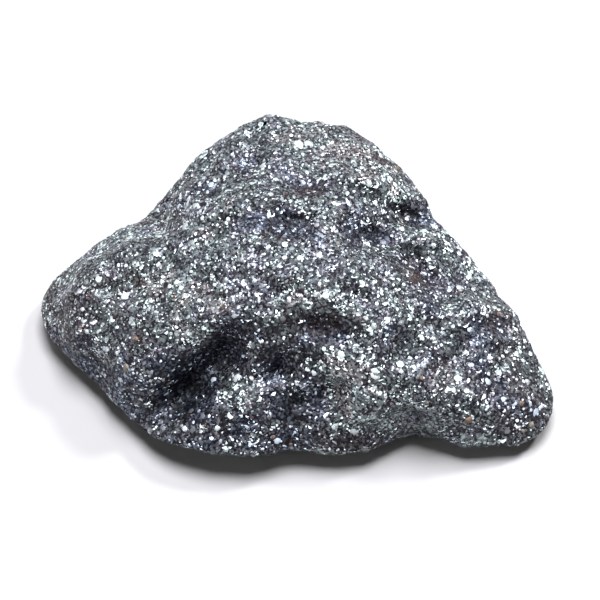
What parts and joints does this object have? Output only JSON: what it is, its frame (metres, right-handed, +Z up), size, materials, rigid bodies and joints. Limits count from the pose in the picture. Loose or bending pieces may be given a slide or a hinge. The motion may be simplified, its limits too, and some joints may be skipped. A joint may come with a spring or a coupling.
{
  "type": "micaceous hematite specimen",
  "caption": "Loose rounded three-cornered hand specimen of dark, glittering micaceous hematite with a scooped front and a flat underside to rest on.",
  "frame": {"origin": "middle of the stone's box in plan, at the surface that it rests on", "axes": "+X along the stone's length towards its pointed right tip, -Y towards its scooped front, +Z up out of the surface that it rests on"},
  "size_m": [0.0642, 0.0452, 0.0189],
  "materials": {
    "specular_hematite": "granular, with small bright metallic flakes"
  },
  "bodies": {
    "root": {"hematite_stone": "specular_hematite"}
  },
  "joints": []
}
